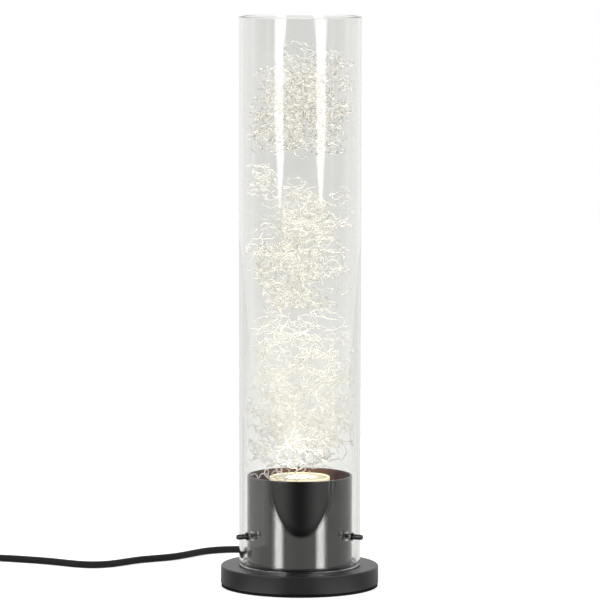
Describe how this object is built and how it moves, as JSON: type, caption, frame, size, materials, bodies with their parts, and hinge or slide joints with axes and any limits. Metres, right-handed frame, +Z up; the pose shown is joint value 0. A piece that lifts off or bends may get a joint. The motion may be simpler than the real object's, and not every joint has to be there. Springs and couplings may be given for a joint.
{
  "type": "glass cylinder table lamp",
  "caption": "Table lamp: clear glass cylinder filled with crumpled silver wire, lit from below by a spot bulb in a black chrome cup on a round black base, with a cord.",
  "frame": {"origin": "on the table, under the middle of the round base", "axes": "+Z up along the glass, -Y the pictured front, the cord leaves at +Y and runs to -X"},
  "size_m": [0.4679, 0.2422, 0.4735],
  "materials": {
    "base_disc": "matt black powder coat",
    "base_pad": "matt black foam rubber",
    "cup_spacer": "matt black",
    "cup_shell": "polished black chrome",
    "glass_cylinder": "clear",
    "threaded_tube": "zinc plated",
    "tube_nut_lower": "zinc plated",
    "tube_nut_upper": "zinc plated",
    "tube_washer": "zinc plated",
    "lampholder_bracket": "zinc plated",
    "lampholder": "white glazed ceramic",
    "holder_screw_1": "zinc plated",
    "holder_screw_2": "zinc plated",
    "bulb_body": "white",
    "bulb_lens": "lit warm white lens",
    "bulb_contact_1": "plain",
    "bulb_contact_2": "plain",
    "holder_lead_1": "brown insulation",
    "holder_lead_2": "blue insulation",
    "cord_lead_1": "brown insulation",
    "cord_lead_2": "blue insulation",
    "terminal_block": "white",
    "cord_clamp": "black",
    "clamp_screw_1": "zinc plated",
    "clamp_screw_2": "zinc plated",
    "strain_relief": "matt black",
    "cord_lamp_run": "black textile braid",
    "cord_coil_run": "black textile braid",
    "cord_coil": "black textile braid",
    "cord_plug_run": "black textile braid",
    "coil_strap": "black hook and loop strap",
    "switch_base": "black",
    "switch_cover": "black",
    "switch_rocker": "black",
    "rocker_pivot": "bright",
    "switch_screw_1": "zinc plated",
    "switch_screw_2": "zinc plated",
    "plug_body": "black",
    "plug_pin_1": "nickel plated",
    "plug_pin_2": "nickel plated",
    "wire_nest_lower": "bright silver wire",
    "wire_nest_middle": "bright silver wire",
    "wire_nest_upper": "bright silver wire",
    "glass_pin_1": "polished black chrome",
    "pin_sleeve_1": "clear",
    "pin_nut_1": "zinc plated",
    "glass_pin_2": "polished black chrome",
    "pin_sleeve_2": "clear",
    "pin_nut_2": "zinc plated",
    "glass_pin_3": "polished black chrome",
    "pin_sleeve_3": "clear",
    "pin_nut_3": "zinc plated",
    "terminal_screw_1": "bright",
    "terminal_screw_2": "bright",
    "terminal_screw_3": "bright",
    "terminal_screw_4": "bright"
  },
  "bodies": {
    "lamp": {"base_disc": "base_disc", "base_pad": "base_pad", "clamp_screw_1": "clamp_screw_1", "clamp_screw_2": "clamp_screw_2", "coil_strap": "coil_strap", "cord_clamp": "cord_clamp", "cord_coil": "cord_coil", "cord_coil_run": "cord_coil_run", "cord_lamp_run": "cord_lamp_run", "cord_lead_1": "cord_lead_1", "cord_lead_2": "cord_lead_2", "cord_plug_run": "cord_plug_run", "cup_shell": "cup_shell", "cup_spacer": "cup_spacer", "glass_cylinder": "glass_cylinder", "holder_lead_1": "holder_lead_1", "holder_lead_2": "holder_lead_2", "holder_screw_1": "holder_screw_1", "holder_screw_2": "holder_screw_2", "lampholder": "lampholder", "lampholder_bracket": "lampholder_bracket", "pin_nut_1": "pin_nut_1", "pin_nut_2": "pin_nut_2", "pin_nut_3": "pin_nut_3", "pin_sleeve_1": "pin_sleeve_1", "pin_sleeve_2": "pin_sleeve_2", "pin_sleeve_3": "pin_sleeve_3", "plug_body": "plug_body", "plug_pin_1": "plug_pin_1", "plug_pin_2": "plug_pin_2", "rocker_pivot": "rocker_pivot", "strain_relief": "strain_relief", "switch_base": "switch_base", "switch_cover": "switch_cover", "switch_screw_1": "switch_screw_1", "switch_screw_2": "switch_screw_2", "terminal_block": "terminal_block", "terminal_screw_1": "terminal_screw_1", "terminal_screw_2": "terminal_screw_2", "terminal_screw_3": "terminal_screw_3", "terminal_screw_4": "terminal_screw_4", "threaded_tube": "threaded_tube", "tube_nut_lower": "tube_nut_lower", "tube_nut_upper": "tube_nut_upper", "tube_washer": "tube_washer", "wire_nest_lower": "wire_nest_lower", "wire_nest_middle": "wire_nest_middle", "wire_nest_upper": "wire_nest_upper"},
    "pin_back": {"glass_pin_1": "glass_pin_1"},
    "pin_left": {"glass_pin_2": "glass_pin_2"},
    "pin_right": {"glass_pin_3": "glass_pin_3"},
    "bulb": {"bulb_body": "bulb_body", "bulb_lens": "bulb_lens", "bulb_contact_1": "bulb_contact_1", "bulb_contact_2": "bulb_contact_2"},
    "rocker": {"switch_rocker": "switch_rocker"}
  },
  "joints": [
    {"name": "pin_back_draw", "type": "slide", "parent": "lamp", "child": "pin_back", "axis": [0, 1, 0], "range_m": [0, 0.0127]},
    {"name": "pin_left_draw", "type": "slide", "parent": "lamp", "child": "pin_left", "axis": [-0.866, -0.5, 0], "range_m": [0, 0.0127]},
    {"name": "pin_right_draw", "type": "slide", "parent": "lamp", "child": "pin_right", "axis": [0.866, -0.5, 0], "range_m": [0, 0.0127]},
    {"name": "bulb_twist", "type": "hinge", "parent": "lamp", "child": "bulb", "pos_m": [0, 0, 0.0455], "axis": [0, 0, 1], "range_deg": [0, 20]},
    {"name": "switch_rock", "type": "hinge", "parent": "lamp", "child": "rocker", "pos_m": [-0.328, 0.1305, 0.0148], "axis": [0, 1, 0], "range_deg": [-16, 0]}
  ]
}
